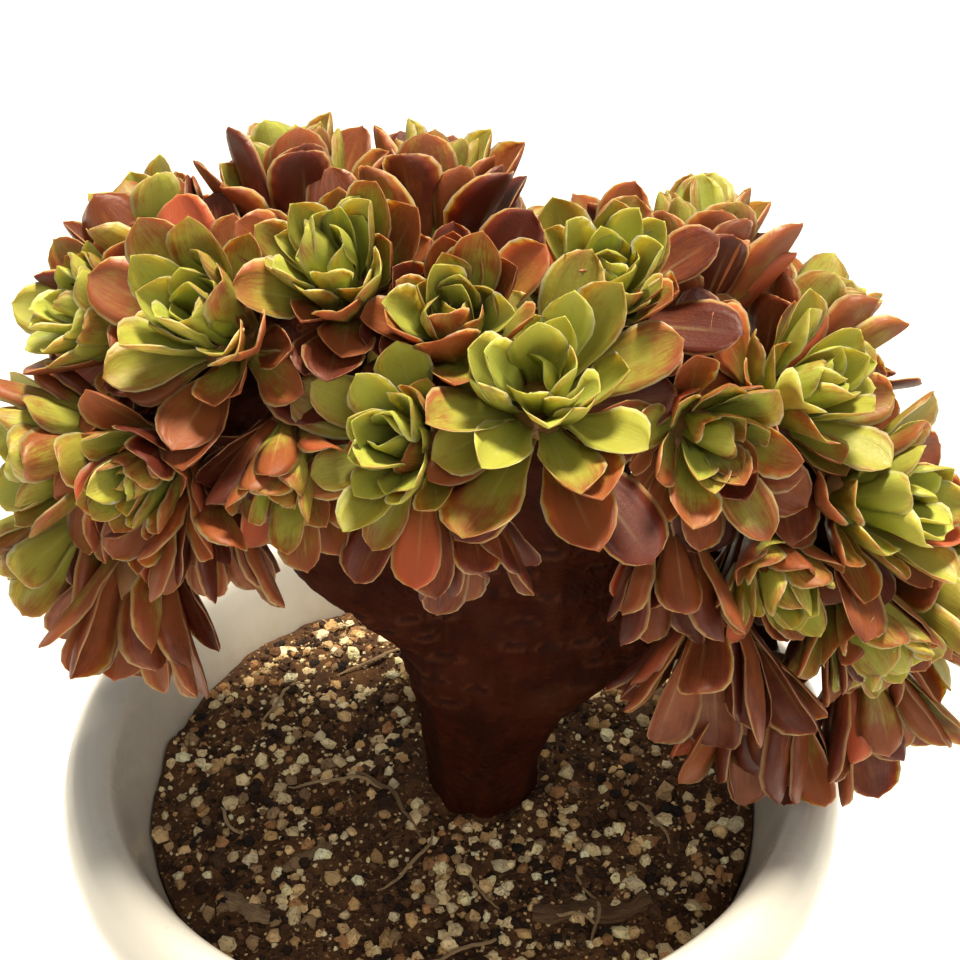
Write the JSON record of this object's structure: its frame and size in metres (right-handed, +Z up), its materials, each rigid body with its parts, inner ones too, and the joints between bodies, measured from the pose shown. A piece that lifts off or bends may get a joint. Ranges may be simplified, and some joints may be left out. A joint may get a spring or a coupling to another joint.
{
  "type": "potted crested aeonium",
  "caption": "Crested succulent with a thick fan-shaped stem and crowded rosettes of spoon-shaped leaves, in a round pot with a rolled rim, filled with gritty potting mix.",
  "frame": {"origin": "centre of the pot's flat underside, which the mount named base marks", "axes": "+Z up, +X to the right seen from the front, +Y away from the viewer; the plane of the fan is XZ"},
  "size_m": [0.2351, 0.2, 0.311],
  "materials": {
    "pot": "satin white glaze with a soft sheen",
    "soil": "matte dark potting mix with pale grit",
    "stem": "matte dark red-brown stem with leaf scars",
    "leaf": "satin waxy leaf, yellow-green inside the rosettes and red-brown outside"
  },
  "bodies": {
    "root": {"pot": "pot", "soil": "soil", "stem": "stem", "head_front_middle": "leaf", "head_front_middle_left": "leaf", "head_front_top_left": "leaf", "head_front_left": "leaf", "head_left_top": "leaf", "head_left": "leaf", "head_left_front": "leaf", "head_left_outer_low": "leaf", "head_left_low": "leaf", "head_left_front_low": "leaf", "head_front_left_low": "leaf", "head_front_low": "leaf", "head_front_upper": "leaf", "head_front_top_right": "leaf", "head_front_right": "leaf", "head_front_right_low": "leaf", "head_right_top": "leaf", "head_right": "leaf", "head_right_end": "leaf", "head_right_middle": "leaf", "head_right_inner": "leaf", "head_right_front_low": "leaf", "head_right_low": "leaf", "head_right_lowest": "leaf", "head_back_top_left": "leaf", "head_top_left": "leaf", "head_top": "leaf", "head_top_right": "leaf", "head_back_top_right": "leaf", "head_back_left_end": "leaf", "head_back_left": "leaf", "head_back_middle_left": "leaf", "head_back_middle": "leaf", "head_back_right": "leaf", "head_back_right_end": "leaf", "head_back_right_low": "leaf", "head_back_left_low": "leaf"}
  },
  "joints": []
}
